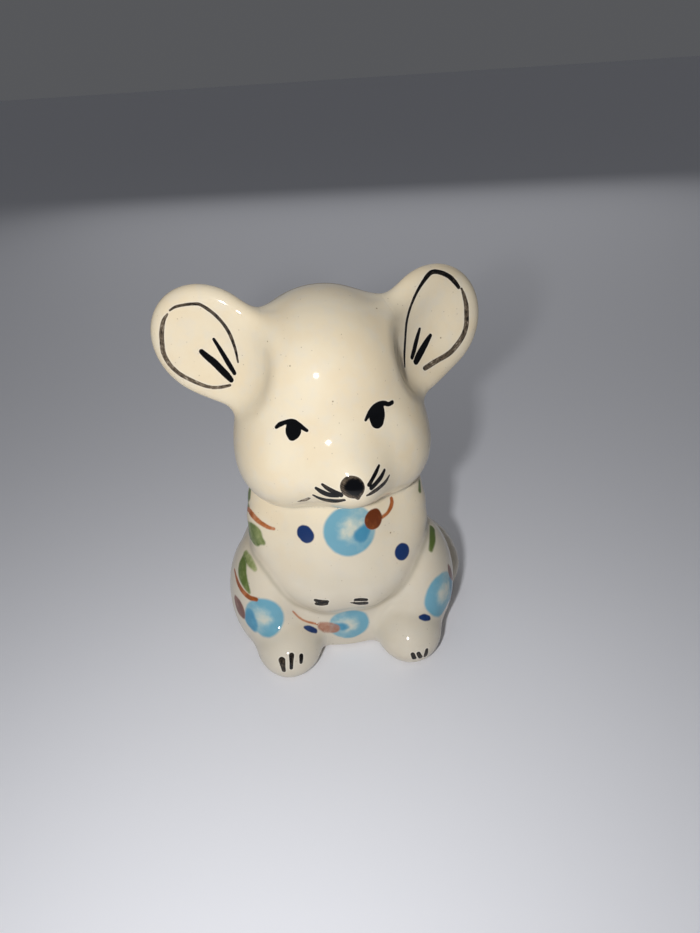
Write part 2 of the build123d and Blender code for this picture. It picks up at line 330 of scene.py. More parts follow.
# Walk from outside along each ray to the first surface
def castIn(name, origins, ways, far, margin):
    t = np.full(len(origins), float(far))
    going = np.arange(len(origins))
    for _ in range(walking["steps"]):
        d = pieceMeasure(name, origins[going] + ways[going] * t[going, None], margin)
        t[going] = np.maximum(t[going] - walking["share"] * np.maximum(d, 0), 0.0)
        going = going[(d > walking["close"]) & (t[going] > 0)]
        if not len(going):
            break
    return origins + ways * t[:, None]


# Grids of rays, each given as origins and directions of shape (rows, columns, 3), plus a ray for each pole.
# Round: directions on a sphere about one centre. Row angle runs pole to pole, column angle round the pole,
# and crowd brings the rows together at the first pole.
def roundRays(centre, pole, rows, columns, crowd=0.0):
    w = np.array(pole, float) / np.linalg.norm(pole)
    u = np.cross([1.0, 0, 0] if abs(w[0]) < 0.9 else [0, 1.0, 0], w)
    u /= np.linalg.norm(u)
    v = np.cross(w, u)
    a = (np.arange(rows) + 1)[:, None] / (rows + 1)
    a = (a - crowd * np.sin(a * math.pi) / math.pi) * math.pi
    b = np.arange(columns)[None] / columns * 2 * math.pi
    ways = (np.cos(a) + 0 * b)[..., None] * w + (np.sin(a) * np.cos(b))[..., None] * u \
        + (np.sin(a) * np.sin(b))[..., None] * v
    origins = np.broadcast_to(np.array(centre, float), ways.shape)
    return origins, ways, (np.array(centre, float), w), (np.array(centre, float), -w)


# Limb: rays square to a curve, swung forward into a round cap at each end, a seventh of the rows to a cap
def limbRays(line, rows, columns, reference):
    count = len(line)
    tangent = np.gradient(line, axis=0)
    tangent /= np.linalg.norm(tangent, axis=1)[:, None]
    across = np.cross(tangent, reference)
    across /= np.linalg.norm(across, axis=1)[:, None]
    other = np.cross(tangent, across)
    capRows = rows // 7
    middle = np.linspace(0, count - 1, rows - 2 * capRows)
    at = np.concatenate([np.zeros(capRows), middle, np.full(capRows, count - 1)])
    swing = np.concatenate([np.linspace(-1, 0, capRows + 2)[1:-1], 0 * middle,
                            np.linspace(0, 1, capRows + 2)[1:-1]]) * math.pi / 2
    pick = [np.stack([np.interp(at, range(count), values[:, k]) for k in range(3)], 1)
            for values in (line, tangent, across, other)]
    b = np.arange(columns)[None, :, None] / columns * 2 * math.pi
    radial = pick[2][:, None] * np.cos(b) + pick[3][:, None] * np.sin(b)
    ways = radial * np.cos(swing)[:, None, None] + pick[1][:, None] * np.sin(swing)[:, None, None]
    ways /= np.linalg.norm(ways, axis=2)[..., None]
    origins = np.broadcast_to(pick[0][:, None], ways.shape)
    return origins, ways, (line[0], -tangent[0]), (line[-1], tangent[-1])


# The flat disc that an ear's rays leave: the share of rows over its face and as many over its rear, how far
# its edge lies inside the rim, how long it is towards the root, and how far behind the ear's middle it lies
earDisc = {"face": 0.38, "inset": 2.6, "towardsRoot": 15.0, "back": 0.9}


# Ear: rays leave a flat disc inside the ear, forward over its dish, round its rim and back over its rear
def earRays(side, rows, columns):
    face, inset = earDisc["face"], earDisc["inset"]
    s = ((np.arange(rows) + 1) / (rows + 1))[:, None]
    b = np.arange(columns)[None] / columns * 2 * math.pi
    out = np.clip(s / face, 0, 1) * np.clip((1 - s) / face, 0, 1)
    bend = np.clip((s - face) / (1 - 2 * face), 0, 1) * math.pi
    length = np.where(np.cos(b) > 0, earSizes["length"] - inset, earDisc["towardsRoot"])
    width = earOf(side)["width"] - inset
    local = np.stack([out * length * np.cos(b), out * width * np.sin(b), 0 * s * b - earDisc["back"]], -1)
    way = np.stack([np.sin(bend) * np.cos(b), np.sin(bend) * np.sin(b), np.cos(bend) + 0 * b], -1)
    turn = headTurn @ earAxes(side)
    origins = fromEar(local.reshape(-1, 3), side).reshape(local.shape)
    middle = fromEar(np.array([[0, 0, -earDisc["back"]]]), side)[0]
    return origins, way @ turn.T, (middle, turn[:, 2]), (middle, -turn[:, 2])


# Rows of points plus two poles become one closed mesh of quads with a fan at each pole, faces outward
def closedMesh(name, grid, first, last):
    rows, columns = grid.shape[:2]
    points = np.concatenate([grid.reshape(-1, 3), [first], [last]])
    i = np.arange(rows - 1)[:, None] * columns
    j = np.arange(columns)[None]
    k = (j + 1) % columns
    quads = np.stack([i + j, i + k, i + columns + k, i + columns + j], -1).reshape(-1, 4)
    end = rows * columns
    firstFan = np.stack([np.full(columns, end), k[0], j[0]], 1)
    lastFan = np.stack([np.full(columns, end + 1), end - columns + j[0], end - columns + k[0]], 1)
    a, b, c, d = (points[quads[:, n]] for n in range(4))
    middle = points.mean(0)
    volume = np.sum((np.cross(b - a, c - a) + np.cross(c - a, d - a)) * (a - middle))
    faces = quads.tolist() + firstFan.tolist() + lastFan.tolist()
    if volume < 0:
        faces = [face[::-1] for face in faces]
    mesh = bpy.data.meshes.new(name)
    mesh.from_pydata((points / 1000).tolist(), [], faces)
    mesh.polygons.foreach_set("use_smooth", np.ones(len(faces), bool))
    mesh.update()
    return mesh, points


# Cast a whole grid of rays and its two poles, from far outside, for a piece with its margin
def castGrid(name, rays, far, margin):
    origins, ways, first, last = rays
    flat = np.concatenate([origins.reshape(-1, 3), [first[0]], [last[0]]])
    towards = np.concatenate([ways.reshape(-1, 3), [first[1]], [last[1]]])
    found = castIn(name, flat, towards, far, margin)
    return found[:-2].reshape(origins.shape), found[-2], found[-1]


# Painted strokes, as the brush went. Each point is (x, y, width): pixels of the photograph through its
# camera, or, under "behind", millimetres (x, z, width) seen square from the back. The first word is the part
# painted on, then come how densely the colour lies (0 a dry brush, 1 full) and how soft its edge is, in
# millimetres.
brushwork = {
    "ink": [
        ("top", 0.62, 0.2, [(238.0, 362.2, 1.8), (235.1, 348.5, 2.8), (229.4, 333.5, 3.3),
                            (221.9, 322.1, 3.2), (212.7, 312.9, 3.2), (201.2, 305.1, 3.2),
                            (194.4, 303.9, 3.0), (182.9, 305.1, 2.8), (174.8, 307.1, 2.6),
                            (169.7, 310.4, 2.0)]),
        ("top", 0.42, 0.2, [(167.4, 314.0, 1.8), (163.4, 320.9, 4.0), (161.6, 332.4, 4.8),
                            (162.0, 343.9, 4.8), (163.9, 354.2, 4.5), (169.7, 364.5, 4.2),
                            (179.4, 373.7, 4.0), (190.9, 380.0, 3.9), (202.4, 385.0, 3.4),
                            (212.7, 387.5, 3.2), (223.1, 386.9, 3.2), (229.9, 385.2, 2.8)]),
        ("top", 1.0, 0.2, [(201.6, 351.6, 5.0), (207.0, 356.5, 6.2), (213.9, 362.2, 6.9),
                           (225.4, 373.7, 6.8), (231.2, 380.0, 5.2)]),
        ("top", 1.0, 0.2, [(213.9, 339.3, 3.0), (223.1, 354.2, 4.4), (229.9, 365.7, 4.8),
                           (234.5, 373.3, 3.8)]),
        ("top", 0.8, 0.2, [(404.9, 367.0, 1.0), (404.4, 355.0, 2.0), (405.4, 336.6, 2.1),
                           (406.6, 322.3, 2.2), (409.5, 310.1, 2.3), (414.6, 296.8, 2.6),
                           (420.7, 285.6, 3.2), (427.9, 275.4, 4.4), (433.0, 271.8, 4.6),
                           (440.1, 272.3, 4.6), (448.3, 275.9, 4.6), (454.4, 281.5, 4.4),
                           (458.8, 287.4, 3.4)]),
        ("top", 0.45, 0.2, [(461.5, 288.7, 2.0), (464.1, 295.8, 3.4), (466.3, 306.0, 4.5),
                            (466.6, 316.2, 4.6), (466.3, 325.4, 4.6), (463.1, 335.6, 4.6),
                            (456.4, 345.8, 5.0), (448.3, 354.0, 5.0), (437.0, 360.6, 5.0),
                            (428.9, 365.7, 5.0), (424.8, 368.4, 4.6)]),
        ("top", 1.0, 0.2, [(419.6, 329.0, 2.4), (416.6, 339.7, 3.8), (414.1, 349.9, 4.0),
                           (412.0, 357.4, 3.4)]),
        ("top", 1.0, 0.2, [(430.2, 335.6, 3.6), (424.8, 344.8, 5.8), (419.2, 355.0, 6.4),
                           (415.9, 361.6, 5.4)]),
        ("top", 0.9, 0.2, [(276.3, 427.2, 3.6), (279.9, 424.4, 4.8), (286.6, 421.8, 4.6),
                           (293.3, 421.2, 4.6), (298.0, 424.0, 4.6), (302.8, 427.8, 4.4),
                           (306.7, 430.4, 3.4)]),
        ("top", 1.0, 0.2, [(293.4, 427.1, 14.6), (293.2, 431.6, 15.2), (292.2, 436.6, 8.6)]),
        ("top", 0.9, 0.2, [(365.7, 420.0, 2.6), (368.4, 415.4, 4.2), (372.7, 408.9, 5.4),
                           (378.4, 404.6, 5.4), (384.2, 403.2, 5.0), (388.6, 404.2, 4.4),
                           (392.2, 402.4, 4.0)]),
        ("top", 1.0, 0.2, [(378.4, 409.2, 11.0), (377.2, 415.6, 15.4), (377.3, 421.0, 13.2)]),
        ("top", 0.55, 0.2, [(351.4, 487.2, 21.6), (353.6, 488.8, 21.8), (356.4, 493.6, 12.0),
                            (358.0, 498.6, 3.6)]),
        ("top", 1.0, 1.3, [(353.8, 487.2, 14.6), (355.2, 488.0, 14.6)]),
        ("top", 0.75, 0.2, [(322.6, 484.7, 2.6), (327.7, 488.6, 4.2), (334.4, 492.1, 4.4),
                            (340.4, 494.8, 4.6)]),
        ("top", 0.85, 0.2, [(316.6, 488.6, 3.0), (322.0, 492.1, 4.4), (328.7, 494.7, 4.2),
                            (337.0, 495.8, 3.4)]),
        ("top", 0.8, 0.2, [(313.5, 495.3, 1.6), (320.1, 498.5, 2.6), (327.7, 500.5, 3.0),
                           (336.3, 501.0, 3.0), (344.4, 500.0, 2.0)]),
        ("top", 0.85, 0.2, [(379.1, 465.6, 2.4), (375.7, 473.0, 3.6), (372.2, 479.7, 3.6),
                            (369.2, 484.6, 4.0)]),
        ("top", 0.85, 0.2, [(384.5, 470.3, 2.4), (381.3, 476.8, 3.6), (376.0, 483.5, 4.0),
                            (371.6, 487.8, 4.0)]),
        ("top", 0.7, 0.2, [(389.2, 475.7, 1.4), (385.1, 482.4, 2.6), (378.4, 488.5, 3.0),
                           (371.7, 493.0, 3.0), (367.2, 495.4, 1.8)]),
        ("top", 0.3, 0.4, [(298.0, 501.6, 0.8), (303.8, 500.4, 2.2), (309.2, 498.2, 1.8)]),
        ("upper", 0.75, 0.2, [(315.4, 600.2, 2.6), (321.0, 601.4, 3.2), (327.2, 601.7, 3.0)]),
        ("upper", 0.75, 0.2, [(316.4, 603.9, 2.6), (321.6, 604.4, 3.0), (326.6, 603.8, 2.6)]),
        ("upper", 0.75, 0.2, [(355.2, 599.9, 2.6), (361.0, 599.6, 3.0), (366.2, 599.8, 2.8)]),
        ("upper", 0.75, 0.2, [(350.6, 602.6, 1.2), (359.2, 603.5, 2.8), (365.8, 603.2, 2.6)]),
        ("lower", 0.7, 0.2, [(281.9, 660.4, 6.8), (283.0, 666.4, 4.8), (283.8, 670.6, 3.8)]),
        ("lower", 0.75, 0.2, [(291.6, 655.2, 5.0), (291.4, 662.4, 3.8), (291.3, 668.2, 3.4)]),
        ("lower", 0.8, 0.2, [(301.3, 655.6, 4.0), (301.3, 659.4, 3.6), (301.1, 662.4, 3.0)]),
        ("lower", 0.8, 0.2, [(412.7, 654.2, 4.2), (413.6, 656.6, 4.4), (414.3, 658.2, 4.2)]),
        ("lower", 0.75, 0.2, [(418.4, 653.4, 4.2), (419.6, 655.6, 4.4), (420.7, 657.2, 4.0)]),
        ("lower", 0.65, 0.2, [(426.7, 650.0, 2.8), (426.2, 653.0, 3.0), (425.6, 655.6, 2.4)]),
    ],
    "cobalt": [
        ("upper", 1.0, 0.3, [(304.6, 533.2, 14.8), (306.2, 535.2, 14.8)]),
        ("upper", 1.0, 0.3, [(402.4, 551.2, 14.0), (402.2, 552.2, 14.0)]),
        ("lower", 0.8, 0.3, [(305.4, 627.4, 3.4), (309.6, 628.8, 6.2), (315.4, 630.9, 4.8)]),
        ("lower", 0.95, 0.3, [(420.8, 617.4, 4.4), (424.7, 617.7, 7.2), (428.6, 617.9, 5.0)]),
        ("behind", 1.0, 0.3, [(-13.5, 24.0, 3.0), (-13.2, 24.3, 3.0)]),
        ("behind", 1.0, 0.3, [(12.6, 33.5, 2.9), (12.8, 33.1, 2.9)]),
    ],
    "deepSky": [
        ("upper", 0.9, 0.7, [(368.6, 525.4, 6.0), (365.2, 530.2, 11.0), (361.2, 535.2, 14.6)]),
        ("lower", 0.85, 0.7, [(249.6, 613.4, 8.0), (250.2, 620.4, 10.0), (253.4, 627.4, 6.0)]),
        ("lower", 0.75, 0.7, [(337.8, 626.6, 7.4), (342.8, 626.9, 7.6), (346.4, 627.2, 4.6)]),
        ("lower", 0.95, 0.8, [(450.8, 578.0, 5.0), (451.6, 590.0, 6.0), (450.0, 602.0, 5.0)]),
        ("behind", 0.85, 0.7, [(2.8, 25.4, 1.6), (1.6, 23.6, 2.8)]),
    ],
    "rust": [
        ("upper", 0.95, 0.35, [(374.9, 515.4, 12.0), (373.6, 519.4, 17.0), (373.4, 521.4, 14.0)]),
        ("upper", 0.5, 0.2, [(382.2, 517.4, 3.4), (387.5, 512.7, 3.4), (390.7, 507.2, 4.0),
                             (391.9, 501.6, 3.6), (391.2, 497.4, 3.0)]),
        ("upper", 0.45, 0.2, [(248.0, 508.1, 1.8), (252.5, 515.1, 4.4), (259.8, 522.2, 4.6),
                              (267.9, 527.1, 4.2), (274.0, 528.9, 3.2)]),
        ("lower", 0.6, 0.2, [(234.4, 569.1, 1.2), (237.7, 582.1, 2.4), (243.1, 591.8, 3.6),
                             (250.4, 597.9, 4.6), (256.4, 599.3, 4.6)]),
        ("lower", 0.4, 0.2, [(292.6, 611.2, 1.8), (300.0, 618.2, 2.2), (308.0, 622.0, 2.3),
                             (318.4, 624.0, 2.4)]),
        ("behind", 0.9, 0.35, [(-3.9, 29.6, 2.8), (-3.6, 28.9, 3.2)]),
        ("behind", 0.7, 0.2, [(-5.4, 30.6, 0.7), (-8.0, 31.4, 0.8), (-10.4, 34.0, 0.8),
                              (-11.2, 36.6, 0.5)]),
        ("behind", 0.8, 0.2, [(6.6, 36.6, 0.5), (9.6, 35.4, 0.9), (12.8, 36.8, 0.9), (15.2, 39.0, 0.5)]),
    ],
    "umber": [
        ("lower", 0.4, 0.5, [(321.4, 625.8, 8.4), (327.0, 627.1, 10.8), (333.6, 628.4, 9.6)]),
        ("lower", 0.8, 0.6, [(236.2, 600.4, 5.0), (239.3, 607.9, 8.4), (242.0, 614.4, 4.6)]),
        ("lower", 0.85, 0.6, [(448.4, 566.0, 2.0), (450.2, 572.0, 4.6), (452.6, 579.0, 2.0)]),
    ],
    "leaf": [
        ("upper", 0.9, 0.4, [(249.8, 489.1, 3.0), (248.6, 498.1, 4.6), (248.8, 506.5, 2.0)]),
        ("upper", 0.7, 0.6, [(247.8, 527.9, 8.0), (252.5, 533.6, 10.6), (258.5, 538.9, 8.6),
                             (263.2, 542.5, 4.6)]),
        ("lower", 0.85, 0.5, [(243.0, 556.5, 2.0), (241.9, 566.0, 7.6), (242.5, 575.5, 8.0),
                              (246.0, 585.5, 6.0), (249.3, 592.4, 3.0)]),
        ("lower", 0.5, 0.7, [(245.1, 553.0, 5.0), (250.1, 561.7, 8.0), (255.1, 569.4, 5.0)]),
        ("upper", 0.9, 0.4, [(419.6, 482.0, 2.6), (419.8, 490.0, 3.0)]),
        ("lower", 0.95, 0.6, [(432.2, 528.0, 4.0), (432.4, 540.0, 6.0), (430.8, 549.6, 4.8)]),
        ("behind", 0.85, 0.5, [(6.0, 28.6, 0.8), (8.6, 29.4, 2.0), (11.4, 28.2, 1.8), (13.4, 26.0, 0.8)]),
        ("behind", 0.75, 0.5, [(-6.8, 22.8, 0.8), (-9.0, 20.6, 2.0), (-11.6, 19.6, 1.8),
                               (-13.8, 20.2, 0.8)]),
    ],
}

# Blue ring balls: part, centre (x, y), the side where the blue lies thickest, and radius in millimetres
balls = [
    ("upper", (350.2, 531.6), (330.0, 543.0), 5.35),
    ("lower", (262.8, 617.9), (276.0, 614.0), 4.35),
    ("lower", (349.4, 624.9), (368.0, 622.0), 4.3),
    ("lower", (443.4, 594.6), (436.0, 604.0), 5.0),
    ("behind", (0.2, 24.6), (-4.0, 22.0), 5.0),
]


# The forms that each part of the body is made of, raw and run together as the brush met them
parts = {
    "top": ("head", "left_ear", "right_ear"),
    "upper": ("chest", "left_arm", "right_arm"),
    "lower": ("belly", "left_haunch", "right_haunch", "left_foot", "right_foot"),
    "tail": ("tail",),
    "behind": tuple(measures),
}
bodyParts = ("top", "upper", "lower", "tail")

# How strokes are laid: the blend within a part, the spacing of a line's points (pixels seen from the front,
# millimetres behind), the thinnest line, and how many times wider it may grow where the clay turns away
laying = {"blend": 4.0, "spacing": 2.5, "spacingBehind": 0.5, "thinnest": 0.4, "widest": 2.2}
# How a brush point is walked to the clay: where the walk starts in front and behind, the share of the
# distance and the longest step taken each time, and how often. Then how it slides to the figure: along the
# ray where the clay faces it more than the grazing value, each time by one slide at most, and in the end
# straight towards the clay.
reaching = {"start": 95.0, "startBehind": 20.0, "outside": 60.0, "share": 0.75, "longest": 12.0, "steps": 60,
            "grazing": 0.12, "slide": 1.5, "slides": 6, "closings": 4, "nudge": 0.05}


def partMeasure(part, points):
    d = np.stack([measures[name](points) for name in parts[part]])
    best = d[0]
    for other in d[1:]:
        best = join(best, other, laying["blend"])
    if part in ("top", "behind"):
        best = pressDishes(best, points)
    return np.maximum(best, -points[:, 2])


# Walk each ray to its part, or to where it passes nearest, then settle the point on the figure's own surface
def settle(part, origins, ways, start):
    r = reaching
    t = np.full(len(origins), float(start))
    best, nearest = np.full(len(origins), 1e9), t.copy()
    for _ in range(r["steps"]):
        d = partMeasure(part, origins + ways * t[:, None])
        better = d < best
        best, nearest = np.where(better, d, best), np.where(better, t, nearest)
        t = t + np.clip(r["share"] * d, 0.0, r["longest"])
    # Slide along the ray to the figure, whose joints are run together more fully than the part's
    nudge = r["nudge"]
    for _ in range(r["slides"]):
        p = origins + ways * nearest[:, None]
        steep = (figure(p + ways * nudge) - figure(p - ways * nudge)) / (2 * nudge)
        slide = np.clip(figure(p) / np.minimum(steep, -r["grazing"]), -r["slide"], r["slide"])
        nearest = nearest - np.where(steep < -r["grazing"], slide, 0)
    p = origins + ways * nearest[:, None]
    for _ in range(r["closings"]):
        slope = np.stack([figure(p + step) - figure(p - step) for step in np.eye(3) * nudge], 1) / (2 * nudge)
        p = p - slope * (figure(p) / np.maximum((slope**2).sum(1), 1e-6))[:, None]
    return p


# Where points of the painting lie on the clay, and how many millimetres one of their units is there
def onClay(part, xy):
    if part == "behind":
        origins = np.stack([xy[:, 0], np.full(len(xy), reaching["outside"]), xy[:, 1]], 1)
        ways = np.broadcast_to([0.0, -1.0, 0.0], origins.shape)
        return settle(part, origins, ways, reaching["startBehind"]), np.ones(len(xy))
    place, right, up, forward = cameraAxes()
    across = (xy[:, :1] - view["width"] / 2) * right + (view["height"] / 2 - xy[:, 1:2]) * up
    ways = across / view["focalPixels"] + forward
    ways /= np.linalg.norm(ways, axis=1)[:, None]
    p = settle(part, np.broadcast_to(place, ways.shape), ways, reaching["start"])
    return p, (p - place) @ forward / view["focalPixels"]


# A stroke as a line on the clay with its half widths there, which grow where the clay turns from the eye
def strokeLine(part, points):
    long = np.linalg.norm(np.diff(np.array(points)[:, :2], axis=0), axis=1).sum()
    spacing = laying["spacingBehind" if part == "behind" else "spacing"]
    smooth = smoothCurve(points, int(max(3 * len(points), 6, long / spacing)))
    at, halves = smooth[:, :2], np.maximum(smooth[:, 2], laying["thinnest"]) / 2
    run = np.gradient(at, axis=0)
    across = np.stack([-run[:, 1], run[:, 0]], 1) / np.linalg.norm(run, axis=1)[:, None]
    line, size = onClay(part, at)
    flat = halves * size
    edges = [onClay(part, at + across * (way * halves)[:, None])[0] for way in (-1, 1)]
    reach = [np.linalg.norm(edge - line, axis=1) for edge in edges]
    return line, np.clip((reach[0] + reach[1]) / 2, flat, laying["widest"] * flat)


strokes = {layer: [(part, dense, soft) + strokeLine(part, points) for part, dense, soft, points in marks]
           for layer, marks in brushwork.items()}
ballPlaces = []
for part, centre, strong, radius in balls:
    spots = onClay(part, np.array([centre, strong], float))[0]
    towards = spots[1] - spots[0]
    ballPlaces.append((part, spots[0], towards / np.linalg.norm(towards), radius))
print("brush strokes laid on the clay")

# Glaze pooling and painted fold shade are full where the clay in a fold is smoothed over by this much or more,
# in millimetres
poolAndShadeDepth = 0.4
# How far paint is worked out round a stroke or a ball, the largest distance kept, how far the bristle pattern
# is shifted from one stroke to the next, and how far outside its edge a stroke's density has fallen to half
reachOf = {"stroke": 2.0, "ball": 3.0, "kept": 4.0, "bristles": 7.3, "half": 0.1}
# Blue in a ball: in the middle, more in the ring between two shares of the radius, more on the strong side
ballBlue = {"middle": 0.3, "ring": 0.2, "strong": 0.5, "shares": (0.1, 0.85)}


# Which part of the body each point belongs to, and how much pooled glaze and painted shade it gets in a fold
def partOf(points):
    d = {name: measure(points) for name, measure in measures.items()}
    nearest = np.stack([np.min([d[name] for name in parts[part]], axis=0) for part in bodyParts])
    fold = (np.min(bodyGroups(d, points), axis=0) - figureFrom(d, points)) / poolAndShadeDepth
    return nearest.argmin(0), np.clip(fold, 0, 1) * (1 - behind(points))


# How far each point lies outside the nearest stroke of a layer, negative inside it: (distance squared less
# half width squared) / width, which is millimetres at the edge and bends evenly across a thin stroke. With it
# come how densely the colour lies, and the place along and across the stroke for the marks of the bristles.
def strokeField(layer, points, part):
    forward = cameraAxes()[3]
    edge, thin = np.full(len(points), reachOf["kept"]), np.ones(len(points))
    brush = np.zeros((len(points), 3))
    for number, (on, dense, soft, line, halves) in enumerate(strokes[layer]):
        middle = line.mean(0)
        reachOut = np.linalg.norm(line - middle, axis=1).max() + halves.max() + reachOf["stroke"]
        near = np.linalg.norm(points - middle, axis=1) < reachOut
        if on != "behind":
            near &= part == bodyParts.index(on)
        near = np.where(near)[0]
        if not len(near):
            continue
        q, best = points[near], np.full(len(near), 99.0)
        along, aside = np.zeros(len(near)), np.zeros(len(near))
        run = 0.0
        for a, b, ra, rb in zip(line[:-1], line[1:], halves[:-1], halves[1:]):
            ab = b - a
            long = np.linalg.norm(ab)
            t = np.clip((q - a) @ ab / max(long * long, 1e-9), 0, 1)
            off = q - a - t[:, None] * ab
            half = ra + (rb - ra) * t
            d = ((off**2).sum(1) - half**2) / (2 * half)
            side = np.cross(ab, forward)
            side /= max(np.linalg.norm(side), 1e-9)
            closer = d < best
            best = np.where(closer, d, best)
            along = np.where(closer, run + t * long, along)
            aside = np.where(closer, off @ side, aside)
            run += long
        fallen = reachOf["half"]
        thin[near] *= 1 - dense * softStep(-best, -fallen - soft / 2, -fallen + soft / 2)
        closer = best < edge[near]
        edge[near[closer]] = best[closer]
        pattern = np.full(closer.sum(), number * reachOf["bristles"])
        brush[near[closer]] = np.stack([along[closer], aside[closer], pattern], 1)
    return edge, 1 - thin, brush


# Blue balls: the distance outside the nearest ball, and the blue, which lies as a ring, thick on one side and
# pale in the middle
def ballField(points, part):
    b = ballBlue
    edge, tone = np.full(len(points), reachOf["kept"]), np.zeros(len(points))
    for on, centre, strong, radius in ballPlaces:
        away = points - centre
        far = np.linalg.norm(away, axis=1)
        near = far < radius + reachOf["ball"]
        if on != "behind":
            near &= part == bodyParts.index(on)
        facing = (away @ strong) / np.maximum(far, 1e-6)
        blue = b["ring"] + b["strong"] * (1 + facing) / 2
        blue = b["middle"] + softStep(far / radius, *b["shares"]) * blue
        edge = np.where(near & (far - radius < edge), far - radius, edge)
        tone = np.where(near & (far - radius <= edge), blue, tone)
    return edge, tone


# Values at the points of a mesh, which the glaze's shader reads by name
def addValues(mesh, name, values):
    flat = values.ndim == 1
    layer = mesh.attributes.new(name, "FLOAT" if flat else "FLOAT_VECTOR", "POINT")
    layer.data.foreach_set("value" if flat else "vector", values.astype(np.float32).ravel())


def paint(mesh, points):
    part, poolAndShade = partOf(points)
    for layer in brushwork:
        edge, dense, brush = strokeField(layer, points, part)
        addValues(mesh, layer, edge)
        addValues(mesh, layer + "Dense", dense)
        if layer == "ink":
            addValues(mesh, "brush", brush)
    edge, tone = ballField(points, part)
    addValues(mesh, "sky", edge)
    addValues(mesh, "skyTone", tone)
    # Grey of glaze gathered in the folds, with painted shade there
    addValues(mesh, "poolAndShade", poolAndShade)


# An sRGB hex colour as linear red, green, blue and full alpha
def linear(colour):
    values = [int(colour[k:k + 2], 16) / 255 for k in (1, 3, 5)]
    return tuple(v / 12.92 if v <= 0.04045 else ((v + 0.055) / 1.055) ** 2.4 for v in values) + (1.0,)


# Add one node: settings by name, and inputs in order, or by name or number. Each is a value, an sRGB hex
# colour or another node's socket. It gives back the output asked for, or the node itself for None.
def node(tree, kind, inputs=(), out=0, **settings):
    made = tree.nodes.new("ShaderNode" + kind)
    for key, value in settings.items():
        setattr(made, key, value)
    for key, value in inputs.items() if isinstance(inputs, dict) else enumerate(inputs):
        if isinstance(value, bpy.types.NodeSocket):
            tree.links.new(value, made.inputs[key])
        else:
            made.inputs[key].default_value = linear(value) if isinstance(value, str) else value
    return made if out is None else made.outputs[out]


# Tones: where each begins and is full along what steers it, and the most of it. Soft edges of the colours are
# in millimetres, and so are the sizes of the noises, each with its fine detail. Specks: cell size in
# millimetres, the shares of it where a dot ends and is full, and its strength. Washes: how much the wash noise
# counts, where the colour goes from pale to full, and its cover from thin to thick.
# The fold grey is glaze gathered in the folds together with painted shade there; the low grey is painted
# shade, darker towards the bottom.
glaze = {"cream": "#EADCC0", "warm": "#E6CFA8", "cool": "#E0D9CB", "low": "#C9C3B7", "poolAndShade": "#B9B09B",
         "speck": "#7E6342", "halo": "#EDE6DC", "bare": "#CDBFA6", "bareDark": "#B8A88C",
         "ink": "#08090C", "dryInk": "#6A5D4E", "cobalt": "#123063", "cobaltPale": "#2A4A81",
         "sky": "#5B9FB7", "skyPale": "#B6C9C2", "deepSky": "#4189AA", "deepSkyPale": "#5B9FB7",
         "rust": "#682F0D", "rustPale": "#B36229", "umber": "#6E4236", "umberPale": "#A8745C",
         "leaf": "#5B6E33", "leafPale": "#9BA26E",
         "softEdges": {"deepSky": 0.5, "leaf": 0.3, "umber": 0.3, "rust": 0.16, "cobalt": 0.16},
         "tones": {"warm": (0.42, 0.66, 0.35), "cool": (0.45, 0.7, 0.3), "low": (0.040, 0.012, 0.65),
                   "poolAndShade": (0.05, 0.95, 0.7)},
         "noises": {"blotch": (9.0, 4.0), "cloud": (2.6, 3.0), "wander": (1.1, 2.0), "broad": (3.0, 2.0),
                    "wash": (1.6, 4.0), "bristle": (0.7, 2.0), "clay": (0.35, 3.0), "ripple": (2.4, 2.0),
                    "grain": (0.3, 3.0)},
         "specks": ((0.9, 0.16, 0.05, 0.5), (3.4, 0.07, 0.02, 0.8)), "speckChance": (0.72, 0.9),
         "ball": {"wash": 0.6, "full": (0.15, 0.8), "edge": 0.35, "cover": (0.0, 0.55, 0.12, 0.92)},
         "colour": {"wash": 0.9, "full": (0.35, 0.95), "cover": (-0.1, 0.6, 0.45, 1.0)},
         "black": {"wander": 0.6, "rim": (0.5, 0.05, 0.0, 0.3), "stretch": (0.9, 5.5, 1.0), "streak": 1.8,
                   "fleck": 1.4, "evenAt": 1.12, "full": (0.30, 0.85), "edge": (0.08, -0.04),
                   "cover": (0.0, 0.35, 0.55, 1.0)},
         "wanderMm": 0.16, "broadMm": 0.4, "rippleMm": 0.03, "grainMm": 0.12,
         "bareHeights": (0.0007, 0.0004), "bareWaverMm": 0.6, "clayTones": (0.35, 0.7),
         "roughness": 0.55, "bareRoughness": 0.85, "gloss": 0.15, "coat": 0.7, "coatRoughness": 0.06,
         "coatIor": 1.5}


